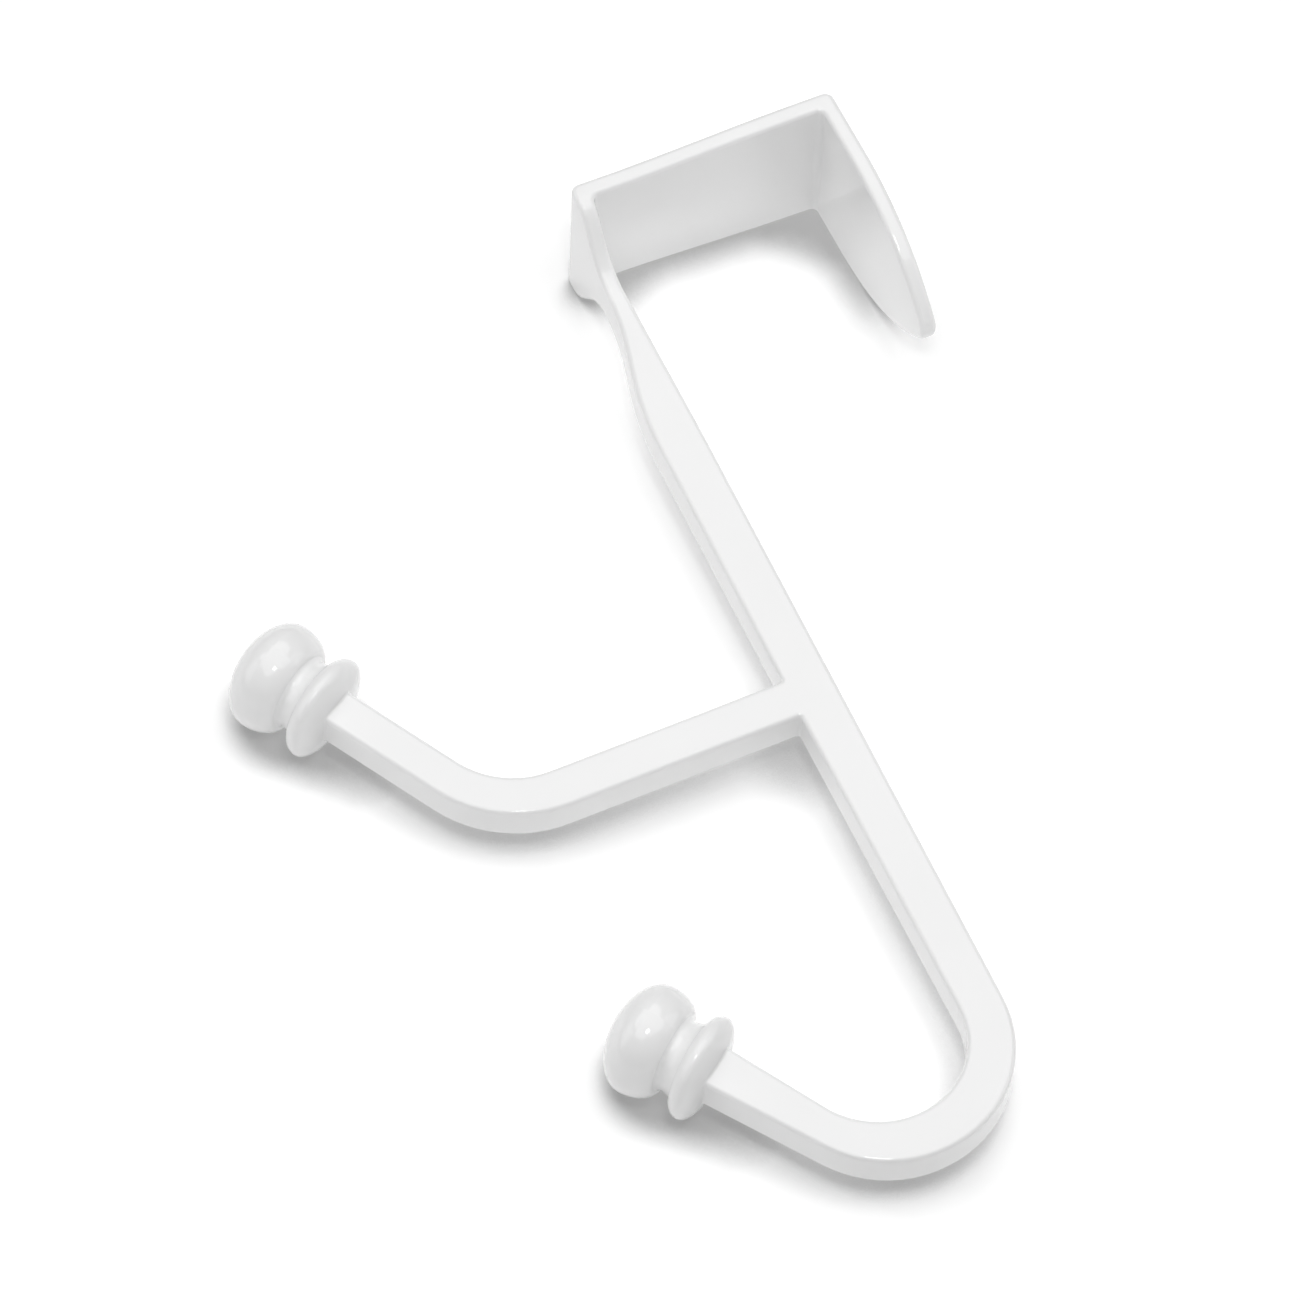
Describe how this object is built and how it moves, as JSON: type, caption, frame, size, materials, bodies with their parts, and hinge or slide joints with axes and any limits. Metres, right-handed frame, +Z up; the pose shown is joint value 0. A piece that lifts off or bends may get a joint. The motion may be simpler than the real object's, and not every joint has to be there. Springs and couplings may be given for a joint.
{
  "type": "over-door hook",
  "caption": "Over-door coat hook: a U clip seats on a door's top edge and carries a slim stem with upturned arms that end in turned knobs.",
  "frame": {"origin": "middle of the seat, the flat underside of the clip's top plate, which rests on the door's top edge midway between the two faces of the door slot", "axes": "+Z up, +Y from the room side through the door to its far side, so the arms point along -Y, and +X to the right of someone facing the hook; X = 0 is the mirror plane"},
  "size_m": [0.0256, 0.1182, 0.1601],
  "materials": {
    "enamel": "gloss"
  },
  "bodies": {
    "root": {"hook_casting": "enamel"}
  },
  "joints": []
}
